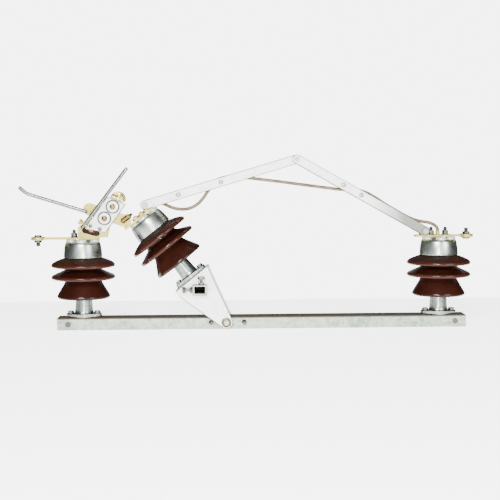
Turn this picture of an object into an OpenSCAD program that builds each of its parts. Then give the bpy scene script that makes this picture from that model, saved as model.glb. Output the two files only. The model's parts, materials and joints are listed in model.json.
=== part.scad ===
// Single-pole tilting-insulator disconnect switch.
// A channel base carries two fixed post insulators and a third one on a tilting bracket.
// X runs along the base, Z is up, and the switch is drawn closed.

/* [Base channel] */
// Length of the channel
base_len = 1350; // [1320:5:1400]
// Width over the flanges
base_w = 75; // [70:1:84]
// Height of the flanges
base_h = 40; // [38:1:48]
// Thickness of the steel
base_t = 5; // [4:0.5:6]
// Outside radius of the folds
base_fold = 8; // [7:0.5:10]
// Where the channel's middle lies, so that the whole switch is centred on the origin
base_mid = 48; // [40:1:56]
// Distance of the mounting holes from each end
mount_inset = 36; // [24:1:38]
// Diameter of the mounting holes
mount_d = 16; // [12:0.5:18]

/* [Post insulators] */
// Distance of the end posts from the channel's middle
post_x = 590; // [580:1:600]
// Height of an insulator from foot to cap
ins_h = 258; // [250:1:266]
// Diameter of the two upper sheds
shed_d = 208; // [190:1:216]
// Diameter of the bell at the bottom
bell_d = 174; // [160:1:184]
// Diameter of the porcelain between the sheds
body_d = 118; // [110:1:122]
// Largest diameter of the cap
cap_d = 124; // [120:1:132]
// Diameter of the cap at its top
cap_top_d = 115; // [108:1:118]
// Height of the four pads on the cap
pad_h = 9; // [6:0.5:10]
// Diameter of the metal pin in the bell
pin_d = 50; // [44:1:54]
// Thickness of the pin's foot flange
foot_t = 12; // [10:0.5:14]
// Distance between the two foot bolts
foot_pitch = 88; // [84:1:94]
// Diameter of the foot bolts
foot_bolt_d = 12; // [10:0.5:14]

/* [Tilting bracket] */
// Lean of the tilting insulator when the switch is closed
tilt_deg = 38; // [37:0.5:39]
// Distance of the pivot from the channel's middle, to the left
pivot_left = 118; // [114:1:122]
// Height of the pivot above the ground plane
pivot_z = 23; // [22.5:0.5:24]
// Diameter of the pivot bolt
pivot_d = 16; // [12:0.5:18]
// Distance from the pivot to the insulator's seat
bracket_len = 184; // [180:1:188]
// Width of the bracket at the seat
bracket_w = 134; // [128:1:142]
// Radius of the bracket round the pivot
bracket_r = 21.5; // [19:0.5:22]
// Straight shoulder on the bracket's left side
bracket_shoulder = 24; // [16:1:32]
// Thickness of the two cheeks
cheek_t = 6; // [5:0.5:8]
// Thickness of the seat plate
seat_t = 8; // [6:0.5:10]
// Side clearance between cheek and channel
cheek_gap = 5.5; // [5:0.1:6.5]
// Distance of the far stop bolt from the pivot, to the right
stop_right = 59; // [54:1:64]
// Diameter of the stop bolts' heads
stop_d = 16; // [12:0.5:18]

/* [Shaft socket] */
// Width of the rectangular socket
socket_w = 46; // [40:1:50]
// Height of the rectangular socket
socket_h = 34; // [30:1:38]
// Wall of the socket
socket_wall = 5; // [4:0.5:6]
// How far the socket stands out of the front cheek
socket_out = 22; // [22:1:30]

/* [Terminals] */
// Thickness of the terminal bars
bar_t = 6; // [5:0.5:8]
// Width of the terminal bars
bar_w = 38; // [34:1:38]
// Width of a terminal bar's neck
neck_w = 24; // [20:1:28]
// Radius of the round terminal pads
term_r = 23; // [20:0.5:26]
// Distance of the left terminal bolt from its post
left_reach = 147; // [140:1:154]
// Distance of the right terminal bolt from its post
right_reach = 91; // [88:1:98]
// Diameter of the terminal bolts
term_bolt_d = 14; // [10:0.5:16]
// Length of terminal bolt that stands free under its nut
term_free = 12; // [8:1:20]

/* [Jaw contact] */
// Distance of the jaw's middle from the left post
jaw_dx = 79; // [77:0.5:81]
// Height of the jaw's middle above the cap
jaw_up = 78; // [76:0.5:80]
// Lean of the jaw to the right
jaw_deg = 36; // [35:0.5:37]
// Length of the jaw plates
jaw_len = 120; // [116:1:126]
// Width of the jaw plates
jaw_w = 62; // [58:1:64]
// Thickness of the jaw plates
jaw_t = 4; // [3:0.5:5]
// Thickness of the contact fingers
finger_t = 4; // [3:0.5:5]
// Width of the contact fingers
finger_w = 50; // [44:1:52]
// Space between fingers and bracket plates
spring_gap = 0.5; // [0.5:0.1:1.5]
// Thickness of the jaw bracket's plates
jaw_bracket_t = 5; // [4:0.5:6]
// Diameter of the pressure discs
disc_d = 46; // [40:1:48]
// Thickness of the pressure discs
disc_t = 3; // [2:0.5:4]
// Distance between the pressure discs
disc_pitch = 47; // [47:0.5:49]

/* [Moving contact] */
// Thickness of the contact blade
blade_t = 8; // [6:0.5:9]
// Width of the contact blade
blade_w = 40; // [36:1:44]
// Clearance between blade and fingers
blade_gap = 0.5; // [0.3:0.1:1]
// How far the blade reaches past the jaw's middle
blade_past = 60; // [58:1:66]
// Diameter of the arcing horns
horn_d = 10; // [8:0.5:11]
// How far the fixed horn reaches past the jaw plates
fixed_horn_up = 110; // [80:1:130]
// How far the moving horn reaches to its bend
horn_reach = 198; // [180:1:210]
// How far the moving horn climbs to its bend
horn_climb = 62; // [50:1:70]
// Length of the moving horn's bent tip, along X and up
horn_tip = 24; // [16:1:30]

/* [Folding links] */
// Width of the link bars
link_w = 30; // [26:1:32]
// Thickness of the link bars
link_t = 6; // [5:0.5:8]
// Thickness of the hinge ears
ear_t = 5; // [4:0.5:6]
// Space between flat pieces that turn beside each other
turn_gap = 1; // [0.5:0.1:1.5]
// Diameter of the hinge pins
link_pin_d = 12; // [10:0.5:14]
// Running clearance round a pin
pin_gap = 0.05; // [0.03:0.01:0.1]
// Distance of the apex from the channel's middle
apex_dx = 118; // [112:1:124]
// Height of the apex above the ground plane
apex_z = 557; // [550:1:564]
// Height of the hinges above the caps
hinge_up = 26; // [25:0.5:28]
// Height of the fixed hinge above its cap
hinge_fixed_up = 20; // [19:0.5:22]
// Distance of the fixed hinge from its post
hinge_fixed_dx = 50; // [48:0.5:53]
// Distance of the moving hinge from its cap's middle
hinge_moving_dx = 30; // [29:0.5:31.5]
// Diameter of the flexible cable
cable_d = 11; // [10:0.5:11]

/* [Hidden] */
$fn = 96;
eps = 0.01;
hex = 6;
touch_gap = 0.3;

// Places that follow from the driving sizes, as [x, z] in the plane of the switch
pivot = [base_mid - pivot_left, pivot_z];
left_axis = base_mid - post_x;
right_axis = base_mid + post_x;
cap_top = base_h + ins_h;
tilt_cap_s = bracket_len + ins_h;
jaw_mid = [left_axis + jaw_dx, cap_top + jaw_up];
apex = [base_mid + apex_dx, apex_z];
hinge_fixed = [right_axis - hinge_fixed_dx, cap_top + hinge_fixed_up];
function from_tilt(p) = pivot + [
    p.x * cos(tilt_deg) - p.y * sin(tilt_deg), p.x * sin(tilt_deg) + p.y * cos(tilt_deg)];
function to_tilt(p) = let (d = p - pivot) [
    d.x * cos(tilt_deg) + d.y * sin(tilt_deg), -d.x * sin(tilt_deg) + d.y * cos(tilt_deg)];
hinge_moving = from_tilt([hinge_moving_dx, tilt_cap_s + hinge_up]);

// Layers across the switch, measured from its middle plane
base_side = base_w / 2;
cheek_in = base_side + cheek_gap;
cheek_out = cheek_in + cheek_t;
ear_in = cable_d / 2 + turn_gap;
ear_out = ear_in + ear_t;
link1_in = ear_out + turn_gap;
link1_out = link1_in + link_t;
link2_in = link1_out + 1.5 * turn_gap;
link2_out = link2_in + link_t;
fixed_ear_out = link2_in - turn_gap;
finger_in = blade_t / 2 + blade_gap;
finger_out = finger_in + finger_t;
jaw_bracket_in = finger_out + spring_gap;
jaw_in = jaw_bracket_in + jaw_bracket_t;
jaw_out = jaw_in + jaw_t;
fixed_horn_y = -(jaw_out + horn_d / 2);
moving_horn_y = -(blade_t / 2 + horn_d / 2);

// Fasteners
head_t = 8;
nut_t = 10;
head_r = 10.5;
spacer_d = 10;
rivet_r = 4;
washer_t = 3;
cap_stud_d = 12;
cap_nut_t = 12;
cap_stud_up = 26;
left_stud_x = [-28, 12];
right_stud_x = [-26, 21];
tilt_stud_x = [-23.5, 1];
link1_spacers = [0.22, 0.5];
link2_spacers = [0.36, 0.5];

// Round and tapered parts of the insulator
body_r = body_d / 2;
shed_a_z = 0.643 * ins_h;
shed_b_z = 0.508 * ins_h;
bell_z = 0.264 * ins_h;
cap_h = 0.233 * ins_h;
pin_taper = 0.116 * ins_h;
pin_depth = 0.31 * ins_h;
shed_r = shed_d / 2;
bell_r = bell_d / 2;
shed_tip = 6.5;
bell_lip = 8;
bell_wall = 16;
pin_r = pin_d / 2;
pin_foot_r = pin_r + 5;
foot_r = 36;
foot_ear_r = 15;
cap_r = cap_d / 2;
cap_edge = 10;
pad_r = 14;
pad_pcd = 76;
boss_top = ins_h - pad_h;

// Socket on the bracket
socket_at = 0.76 * bracket_len;

// Hinge ears, terminal ferrule and cable ferrule
ear_r = 13;
ferrule_r = 7;
ferrule_len = 10;
tail_dx = -4;
strip_left = 72;
strip_right = 46;
tongue_at = hinge_moving_dx - ear_r - 1;
right_bar_left = 80;
left_bar_right = 54;
blade_foot = [-72, -48];
ferrule_t = 14;

// Flexible cable: points chosen by hand in the plane of the switch
cable_loop_route = [
    [-331, 396.5], [-320, 405], [-310, 412], [-298, 416.5], [-285, 416.5], [-272, 412], [-258, 405.5],
    [-242, 399], [-225, 395.5], [-207, 394.5], [-190, 397], [-173, 404], [-157, 415.5], [-143, 431],
    [-130, 450], [-117, 468], [-106, 482.5], [-96, 491], [-86, 494.5]];
cable_span_route = [
    [-86, 494.5], [-76, 498], [-62, 500], [-42, 500], [-14, 498], [20, 494.5], [60, 489.5], [100, 484.5],
    [140, 479], [180, 473.5], [220, 468], [260, 462.5], [300, 457], [330, 455], [356, 454], [374, 452],
    [384, 449]];
cable_tail_route = [
    [384, 449], [394, 446], [410, 438], [430, 426], [460, 406], [492, 387], [524, 369], [554, 355],
    [582, 348], [604, 344.5], [620, 338], [630, 330], [634, 322], [634, 316]];

zinc = [0.80, 0.83, 0.80];
bright_zinc = [0.90, 0.92, 0.90];
gold_zinc = [0.83, 0.72, 0.42];
glaze = [0.24, 0.09, 0.07];
cast_grey = [0.60, 0.64, 0.61];
steel_grey = [0.52, 0.53, 0.50];
copper = [0.52, 0.33, 0.20];
brass = [0.72, 0.60, 0.28];

// Plates and solids

// A flat shape drawn in the X-Z plane, given thickness from y0 to y1
module slab(y0, y1) {
    translate([0, y1, 0]) rotate([90, 0, 0]) linear_extrude(y1 - y0) children();
}

// The same plate on both sides of the middle plane
module slab_pair(inner, outer) {
    slab(inner, outer) children();
    slab(-outer, -inner) children();
}

// A round bar along Y
module bar_y(p, r, y0, y1) {
    translate([p.x, y1, p.y]) rotate([90, 0, 0]) cylinder(r = r, h = y1 - y0);
}

// A hexagon along Y
module hex_y(p, r, y0, y1) {
    translate([p.x, y1, p.y]) rotate([90, 0, 0]) cylinder(r = r, h = y1 - y0, $fn = hex);
}

// A bar with two round ends, from point a to point b
module link_shape(a, b, r) {
    run = norm(b - a);
    translate(a) rotate(atan2(b.y - a.y, b.x - a.x)) {
        circle(r);
        translate([run, 0]) circle(r);
        translate([0, -r]) square([run, 2 * r]);
    }
}

// Round rod in the X-Z plane through a list of points, with a ball at each bend and at its far end
module rod(points, r) {
    for (i = [0 : len(points) - 2]) {
        run = points[i + 1] - points[i];
        translate([points[i].x, 0, points[i].y]) rotate([0, atan2(run.x, run.y), 0])
            cylinder(r = r, h = norm(run));
        translate([points[i + 1].x, 0, points[i + 1].y]) sphere(r);
    }
}

// A tube along a route in the X-Z plane, with one ring of flats at each point
module tube(route, r, sides = 10) {
    last = len(route) - 1;
    rings = [for (i = [0 : last])
        let (d = route[min(i + 1, last)] - route[max(i - 1, 0)], u = d / norm(d))
        for (k = [0 : sides - 1]) let (a = 360 * k / sides)
            [route[i].x - u.y * r * cos(a), r * sin(a), route[i].y + u.x * r * cos(a)]];
    walls = [for (i = [0 : last - 1], k = [0 : sides - 1])
        let (j = (k + 1) % sides)
            [i * sides + k, i * sides + j, (i + 1) * sides + j, (i + 1) * sides + k]];
    start = [for (k = [sides - 1 : -1 : 0]) k];
    end = [for (k = [0 : sides - 1]) last * sides + k];
    polyhedron(rings, concat([start], walls, [end]), convexity = 6);
}

// Two circles on one line joined by their outer tangents: big at the middle, small at the distance
module ear_shape(big, small, distance) {
    a = acos((big - small) / distance);
    polygon(concat(
        arc([distance, 0], small, -a, a, 16), arc([0, 0], big, a, 180 - a, 12),
        arc([-distance, 0], small, 180 - a, 180 + a, 16), arc([0, 0], big, 180 + a, 360 - a, 12)));
}

// A stud along Z with a washer and a hexagon nut, standing on its seat
module nut_stud(d, up, nut, r) {
    cylinder(d = d, h = up);
    cylinder(r = r * 1.15, h = washer_t);
    translate([0, 0, washer_t]) cylinder(r = r, h = nut, $fn = hex);
}

// Points of an arc, from angle a0 to a1
function arc(c, r, a0, a1, n = 8) =
    [for (i = [0 : n]) let (a = a0 + (a1 - a0) * i / n) c + r * [cos(a), sin(a)]];
// Points of a bulging edge from p to q, bowed outwards by its sag
function bow(p, q, sag, n = 8) = let (d = q - p, m = [-d.y, d.x] / norm(d))
    [for (i = [0 : n]) let (f = i / n) p + d * f + m * sag * 4 * f * (1 - f)];

module at_tilt() translate([pivot.x, 0, pivot.y]) rotate([0, -tilt_deg, 0]) children();
module at_tilt_cap() at_tilt() translate([0, 0, tilt_cap_s]) children();
module at_jaw() translate([jaw_mid.x, 0, jaw_mid.y]) rotate([0, jaw_deg, 0]) children();
module at_left() translate([left_axis, 0, base_h]) children();
module at_right() translate([right_axis, 0, base_h]) children();

// Insulator, from the foot up

// Pin with an oval two-bolt foot
module post_foot() {
    color(cast_grey) difference() {
        union() {
            linear_extrude(foot_t) ear_shape(foot_r, foot_ear_r, foot_pitch / 2);
            rotate_extrude() polygon([
                [0, 1], [pin_foot_r - 4, 1], [pin_foot_r + 3, foot_t], [pin_foot_r, foot_t + 5],
                [pin_r, bell_z + pin_taper], [pin_r, bell_z + pin_depth], [0, bell_z + pin_depth]]);
        }
        for (side = [-1, 1]) translate([side * foot_pitch / 2, 0, -eps])
            cylinder(d = foot_bolt_d, h = foot_t + 2 * eps);
    }
}

// Glazed porcelain: two sheds over a hollow bell
module porcelain() {
    top = ins_h - cap_h;
    tip_a = [shed_r - shed_tip, shed_a_z + shed_tip];
    tip_b = [shed_r - shed_tip, shed_b_z + shed_tip];
    lip = [bell_r - bell_lip, bell_z + bell_lip];
    bell_top = shed_b_z - 3;
    inner_lip = [bell_r - bell_wall, bell_z];
    outline = concat(
        [[0, top], [body_r - 2, top]],
        bow([body_r, top - 2], tip_a + shed_tip * [cos(62), sin(62)], 2),
        arc(tip_a, shed_tip, 50, -90),
        [[body_r + 4, shed_a_z + 5], [body_r, shed_a_z + 2]],
        bow([body_r, shed_a_z - 5], tip_b + shed_tip * [cos(62), sin(62)], 2),
        arc(tip_b, shed_tip, 50, -90),
        [[body_r + 4, shed_b_z + 5], [body_r - 1, shed_b_z + 2], [body_r - 1, bell_top]],
        arc(lip, bell_lip, 28, -90),
        [inner_lip, [pin_r + 14, bell_z + 0.15 * ins_h], [pin_r + 3, bell_z + 0.18 * ins_h],
         [pin_r, bell_z + 0.18 * ins_h], [pin_r, bell_z + pin_depth], [0, bell_z + pin_depth]]);
    color(glaze) rotate_extrude() polygon(outline);
}

// Barrel-shaped cap with four low pads for the terminal bar
module cap() {
    low = ins_h - cap_h;
    outline = concat(
        [[0, low], [cap_r - 3, low], [cap_r - 0.5, low + 2]],
        bow([cap_r - 0.5, low + 8], [cap_top_d / 2, boss_top - cap_edge], -3),
        arc([cap_top_d / 2 - cap_edge, boss_top - cap_edge], cap_edge, 0, 90),
        [[0, boss_top]]);
    color(cast_grey) {
        rotate_extrude() polygon(outline);
        for (a = [0 : 90 : 270]) rotate(a) translate([pad_pcd / 2, 0, boss_top - eps])
            cylinder(r = pad_r, h = pad_h + eps);
    }
}

// Two hexagon bolts that hold a foot down on a plate of the given thickness
module foot_bolts(plate) {
    color(steel_grey) for (side = [-1, 1]) translate([side * foot_pitch / 2, 0, 0]) {
        translate([0, 0, foot_t]) cylinder(r = head_r, h = head_t, $fn = hex);
        translate([0, 0, -plate - nut_t - 4])
            cylinder(d = foot_bolt_d, h = plate + nut_t + 4 + foot_t + eps);
        translate([0, 0, -plate - nut_t]) cylinder(r = head_r, h = nut_t, $fn = hex);
    }
}

// Base

module channel_profile() {
    module inverted_u(w, h, r) {
        translate([-w / 2, -eps]) square([w, h - r + eps]);
        translate([-w / 2 + r, 0]) square([w - 2 * r, h]);
        for (side = [-1, 1]) translate([side * (w / 2 - r), h - r]) circle(r);
    }
    difference() {
        intersection() {
            inverted_u(base_w, base_h, base_fold);
            translate([-base_w, 0]) square([2 * base_w, base_h]);
        }
        inverted_u(base_w - 2 * base_t, base_h - base_t, base_fold - base_t);
    }
}

// Where a stop bolt must stand so that the bracket's edge, leaning by lean, meets it
function stop_offset(lean) = (bracket_r + stop_d / 2 + touch_gap) / cos(lean);
function edge_lean(p) = let (d = norm(p)) 90 - atan2(p.y, abs(p.x)) - asin(bracket_r / d);
left_edge = [-bracket_w / 2, bracket_len - bracket_shoulder];
right_edge = [bracket_w / 2, bracket_len];
closed_stop = pivot - [stop_offset(tilt_deg + edge_lean(left_edge)), 0];
open_stop = pivot + [stop_right, 0];
mount_x = base_len / 2 - mount_inset;

module base_channel() {
    color(zinc) difference() {
        translate([base_mid - base_len / 2, 0, 0]) rotate([90, 0, 90])
            linear_extrude(base_len) channel_profile();
        bar_y(pivot, pivot_d / 2, -base_w, base_w);
        for (p = [closed_stop, open_stop]) bar_y(p, spacer_d / 2, -base_w, base_w);
        for (side = [-1, 1])
            bar_y([base_mid + side * mount_x, base_h / 2], mount_d / 2, -base_w, base_w);
        for (x = [left_axis, right_axis], side = [-1, 1])
            translate([x + side * foot_pitch / 2, 0, 0]) cylinder(d = foot_bolt_d, h = 2 * base_h);
    }
}

// Long bolts through both flanges, with heads that stop the cheeks
module stop_bolts() {
    color(steel_grey) for (p = [closed_stop, open_stop]) {
        bar_y(p, spacer_d / 2, -base_side, base_side);
        bar_y(p, stop_d / 2, -cheek_out - 1, -base_side);
        bar_y(p, stop_d / 2, base_side, cheek_out + 1);
    }
}

module pivot_bolt() {
    seat = cheek_out + touch_gap;
    color(brass) {
        bar_y(pivot, pivot_d / 2, -seat - washer_t - head_t, seat + washer_t + nut_t + 5);
        for (side = [-1, 1]) {
            bar_y(pivot, pivot_d / 2 + 7, min(side * seat, side * (seat + washer_t)),
                max(side * seat, side * (seat + washer_t)));
        }
        hex_y(pivot, pivot_d / 2 + 4, -seat - washer_t - head_t, -seat - washer_t);
        hex_y(pivot, pivot_d / 2 + 4, seat + washer_t, seat + washer_t + nut_t);
    }
}

// Terminals on the end posts

// Flat bar along X with a narrow neck and a round pad, reaching from the near end to the pad's middle
module terminal_shape(near, reach) {
    away = sign(reach);
    neck_from = away * (pad_pcd / 2 + 10);
    translate([min(near, neck_from), -bar_w / 2]) square([abs(neck_from - near), bar_w]);
    translate([min(neck_from, reach), -neck_w / 2]) square([abs(reach - neck_from), neck_w]);
    translate([neck_from, 0]) circle(d = neck_w);
    translate([reach, 0]) circle(term_r);
}

// Cap studs go through the bar and a little way into the cap
module stud_holes(places) {
    for (x = places) translate([x, 0, -eps]) cylinder(d = cap_stud_d, h = bar_t + 2 * eps);
}

module left_terminal() {
    color(gold_zinc) translate([left_axis, 0, cap_top]) difference() {
        linear_extrude(bar_t) terminal_shape(left_bar_right, -left_reach);
        stud_holes(left_stud_x);
        translate([-left_reach, 0, -eps]) cylinder(d = term_bolt_d, h = bar_t + 2 * eps);
    }
}

module right_terminal() {
    ear_mid = [-hinge_fixed_dx, hinge_fixed_up];
    color(gold_zinc) translate([right_axis, 0, cap_top]) {
        difference() {
            union() {
                linear_extrude(bar_t) terminal_shape(-right_bar_left, right_reach);
                slab_pair(fixed_ear_out - ear_t, fixed_ear_out) {
                    translate(ear_mid) circle(ear_r);
                    translate(ear_mid - [ear_r, ear_mid.y]) square([2 * ear_r, ear_mid.y]);
                }
                translate([tail_dx, 0, 0]) cylinder(r = ferrule_r, h = bar_t + ferrule_len + 2);
            }
            bar_y(ear_mid, link_pin_d / 2, -base_w, base_w);
            stud_holes(right_stud_x);
            translate([right_reach, 0, -eps]) cylinder(d = term_bolt_d, h = bar_t + 2 * eps);
        }
    }
}

// Bolt down through the pad, with its nut and free end below
module terminal_bolt() {
    color(steel_grey) {
        translate([0, 0, bar_t]) cylinder(r = head_r + 2, h = head_t, $fn = hex);
        translate([0, 0, -nut_t - term_free])
            cylinder(d = term_bolt_d, h = nut_t + term_free + bar_t + eps);
        translate([0, 0, -nut_t]) cylinder(r = head_r + 2, h = nut_t, $fn = hex);
    }
}
module left_terminal_bolt() translate([left_axis - left_reach, 0, cap_top]) terminal_bolt();
// On the right the sheds are in the way below, so the bolt goes up through the pad
module right_terminal_bolt() {
    translate([right_axis + right_reach, 0, cap_top + bar_t]) rotate([180, 0, 0]) terminal_bolt();
}

module cap_studs(places) {
    color(steel_grey) for (x = places) translate([x, 0, 0]) {
        cylinder(d = cap_stud_d, h = bar_t);
        translate([0, 0, bar_t]) nut_stud(cap_stud_d, cap_stud_up, cap_nut_t, head_r);
    }
}
module left_cap_studs() {
    color(steel_grey) translate([left_axis, 0, cap_top]) {
        translate([left_stud_x[0], 0, 0]) {
            cylinder(d = cap_stud_d, h = bar_t);
            translate([0, 0, bar_t]) nut_stud(cap_stud_d, cap_stud_up, cap_nut_t, head_r);
        }
        translate([left_stud_x[1], 0, 0]) {
            cylinder(d = cap_stud_d, h = bar_t + jaw_bracket_t);
            translate([0, 0, bar_t + jaw_bracket_t])
                cylinder(r = jaw_bracket_in - 1, h = head_t, $fn = hex);
        }
    }
}
module right_cap_studs() translate([right_axis, 0, cap_top]) cap_studs(right_stud_x);

module hinge_pin() {
    seat = link2_out + touch_gap;
    color(steel_grey) {
        bar_y(hinge_fixed, link_pin_d / 2, -seat - head_t + eps, seat + head_t - eps);
        hex_y(hinge_fixed, head_r, -seat - head_t, -seat);
        hex_y(hinge_fixed, head_r, seat, seat + head_t);
    }
}

// Jaw contact on the left post

jaw_half = jaw_len / 2;
disc_places = [[1.5, 37], [1.5, 37 - disc_pitch]];
jaw_rivet_places = [[-21, -jaw_half + 3], [9.5, -jaw_half + 13]];
mouth_at = jaw_half + 6;
// The jaw plates are cut slanting at both ends: left and right corners
jaw_top = [[-jaw_w / 2, 0.44 * jaw_len], [jaw_w / 2, 0.55 * jaw_len]];
jaw_low = [[-jaw_w / 2, -0.62 * jaw_len], [jaw_w / 2, -0.38 * jaw_len]];
function from_jaw(p) = jaw_mid + [
    p.x * cos(jaw_deg) + p.y * sin(jaw_deg), -p.x * sin(jaw_deg) + p.y * cos(jaw_deg)];
bracket_foot = [left_axis - 14, left_axis + jaw_dx + 2];
bracket_z = cap_top + bar_t;
window_mid = [left_axis + jaw_dx - 50, bracket_z + 18.5];
window_long = 60;
window_short = 20;
window_lean = 16;
window_run = window_long - window_short;

module jaw_bracket_shape() {
    polygon([
        [bracket_foot[0], bracket_z], [bracket_foot[1], bracket_z],
        from_jaw([jaw_w / 2 - 3, -20]), from_jaw([-jaw_w / 2 + 3, -20]),
        [bracket_foot[0], bracket_z + 34]]);
}

module jaw_bracket() {
    span = bracket_foot[1] - bracket_foot[0];
    color(gold_zinc) difference() {
        union() {
            slab_pair(jaw_bracket_in, jaw_in) jaw_bracket_shape();
            translate([bracket_foot[0], -jaw_in, bracket_z]) cube([span, 2 * jaw_in, jaw_bracket_t]);
        }
        translate([left_axis + left_stud_x[1], 0, bracket_z - eps])
            cylinder(d = cap_stud_d, h = jaw_bracket_t + 2 * eps);
        slab(-jaw_in - eps, -jaw_bracket_in + eps) translate(window_mid) rotate(-window_lean)
            link_shape([-window_run / 2, 0], [window_run / 2, 0], window_short / 2);
        at_jaw() for (p = jaw_rivet_places) bar_y(p, rivet_r, -base_w, base_w);
    }
}

module jaw_plates() {
    color(bright_zinc) at_jaw() difference() {
        slab_pair(jaw_in, jaw_out) polygon([jaw_low[0], jaw_low[1], jaw_top[1], jaw_top[0]]);
        for (p = disc_places) bar_y(p, rivet_r, -base_w, base_w);
        for (p = jaw_rivet_places) bar_y(p, rivet_r, -base_w, base_w);
    }
}

// Inner fingers with half-round mouths that guide the blade in
module contact_fingers() {
    mouth = finger_w / 2;
    color(gold_zinc) at_jaw() slab_pair(finger_in, finger_out) {
        translate([-mouth, -18]) square([finger_w, mouth_at + 18]);
        translate([0, mouth_at]) circle(mouth);
    }
    lift = [0, touch_gap];
    color(gold_zinc) at_jaw() slab_pair(finger_out - eps, jaw_out) difference() {
        translate([0, mouth_at]) circle(mouth);
        polygon([jaw_top[0] - [0, jaw_w], jaw_top[1] - [0, jaw_w], jaw_top[1] + lift, jaw_top[0] + lift]);
    }
}

module pressure_discs() {
    color(bright_zinc) at_jaw() difference() {
        slab_pair(jaw_out, jaw_out + disc_t) for (p = disc_places) translate(p) circle(d = disc_d);
        for (p = disc_places) bar_y(p, rivet_r, -base_w, base_w);
    }
}

module contact_rivets() {
    color(brass) at_jaw() for (p = disc_places, side = [-1, 1]) {
        inner = side * finger_out;
        seat = side * (jaw_out + disc_t);
        bar_y(p, rivet_r, min(inner, seat), max(inner, seat));
        bar_y(p, 9.5, min(seat, seat + side * 5), max(seat, seat + side * 5));
    }
}

module jaw_rivets() {
    color(steel_grey) at_jaw() for (p = jaw_rivet_places, side = [-1, 1]) {
        inner = side * jaw_bracket_in;
        seat = side * jaw_out;
        bar_y(p, rivet_r, min(inner, seat), max(inner, seat));
        bar_y(p, rivet_r + 2.5, min(seat, seat + side * 2.5), max(seat, seat + side * 2.5));
    }
}

// Short copper rope between the cap stud and the fingers, seen in the bracket's window
module jaw_shunt() {
    r = jaw_bracket_in - 0.5;
    low = window_mid + [20, 1];
    high = window_mid + [-16, 9];
    run = high - low;
    color(copper) translate([low.x, 0, low.y]) rotate([0, atan2(run.x, run.y), 0])
        cylinder(r = r, h = norm(run));
}

// A rod beside the jaw plates, held by a clamp bolt that bears on the front plate
module fixed_horn() {
    low = [-jaw_w / 2 - 9, -jaw_half - 22];
    high = [-jaw_w / 2 - 2, jaw_half + fixed_horn_up];
    clamp_z = -jaw_half - 4;
    color(steel_grey) at_jaw() translate([0, fixed_horn_y, 0]) {
        rod([low, high], horn_d / 2);
        translate([low.x - 20, 0, clamp_z]) rotate([0, 90, 0]) cylinder(r = head_r, h = 10, $fn = hex);
        translate([low.x - 11, 0, clamp_z]) rotate([0, 90, 0]) cylinder(d = horn_d, h = 22.5);
    }
}

// Tilting bracket

// Angle on the pivot's circle where the bracket's edge through p leaves it
function edge_angle(p) = atan2(p.y, p.x) - sign(p.x) * acos(bracket_r / norm(p));

module cheek_shape() {
    polygon(concat(
        [right_edge, [left_edge.x, bracket_len], left_edge],
        arc([0, 0], bracket_r, edge_angle(left_edge), edge_angle(right_edge) + 360, 32)));
}

// The socket lies level when the switch is closed
module at_socket() at_tilt() translate([0, 0, socket_at]) rotate([0, tilt_deg, 0]) children();
module socket_block(grow) {
    square([socket_w + 2 * grow, socket_h + 2 * grow], center = true);
}

module tilt_bracket() {
    color(bright_zinc) difference() {
        at_tilt() difference() {
            union() {
                slab_pair(cheek_in, cheek_out) cheek_shape();
                translate([-bracket_w / 2, -cheek_out, bracket_len - seat_t])
                    cube([bracket_w, 2 * cheek_out, seat_t]);
            }
            bar_y([0, 0], pivot_d / 2 + pin_gap, -base_w, base_w);
            for (side = [-1, 1]) translate([side * foot_pitch / 2, 0, bracket_len - seat_t - eps])
                cylinder(d = foot_bolt_d, h = seat_t + 2 * eps);
        }
        at_socket() slab(-cheek_out - eps, -cheek_in + eps) socket_block(0);
    }
}

// Rectangular tube for the operating shaft, closed at the back by the rear cheek
module shaft_socket() {
    color(zinc) at_socket() slab(-cheek_out - socket_out, cheek_in) difference() {
        socket_block(0);
        socket_block(-socket_wall);
    }
}

// Two set screws with lock nuts, through the socket's top and left walls
module socket_screws() {
    module screw() {
        cylinder(r = 4, h = 26);
        cylinder(r = head_r - 1.5, h = 6, $fn = hex);
        translate([0, 0, 20]) cylinder(r = head_r - 0.5, h = 6, $fn = hex);
    }
    y = -cheek_out - socket_out / 2;
    color(steel_grey) at_socket() {
        translate([5, y, socket_h / 2]) screw();
        translate([-socket_w / 2, y, 0]) rotate([0, -90, 0]) screw();
    }
}

// Moving contact on the tilting cap

module contact_strip() {
    ear_mid = [hinge_moving_dx, hinge_up];
    color(gold_zinc) at_tilt_cap() difference() {
        union() {
            translate([-strip_left, -bar_w / 2, 0]) cube([strip_left + tongue_at, bar_w, bar_t]);
            translate([0, -ear_out, 0]) cube([strip_right, 2 * ear_out, bar_t]);
            slab_pair(ear_in, ear_out) {
                translate(ear_mid) circle(ear_r);
                translate(ear_mid - [ear_r, ear_mid.y]) square([2 * ear_r, ear_mid.y]);
            }
            translate([ferrule_t, 0, bar_t + ferrule_r]) rotate([0, 90, 0])
                cylinder(r = ear_in - eps, h = ferrule_len);
            translate([ferrule_t, -ear_in / 2, bar_t - eps]) cube([ferrule_len, ear_in, ferrule_r]);
        }
        bar_y(ear_mid, link_pin_d / 2, -base_w, base_w);
        stud_holes(tilt_stud_x);
    }
}
module tilt_cap_studs() at_tilt_cap() cap_studs(tilt_stud_x);

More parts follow.
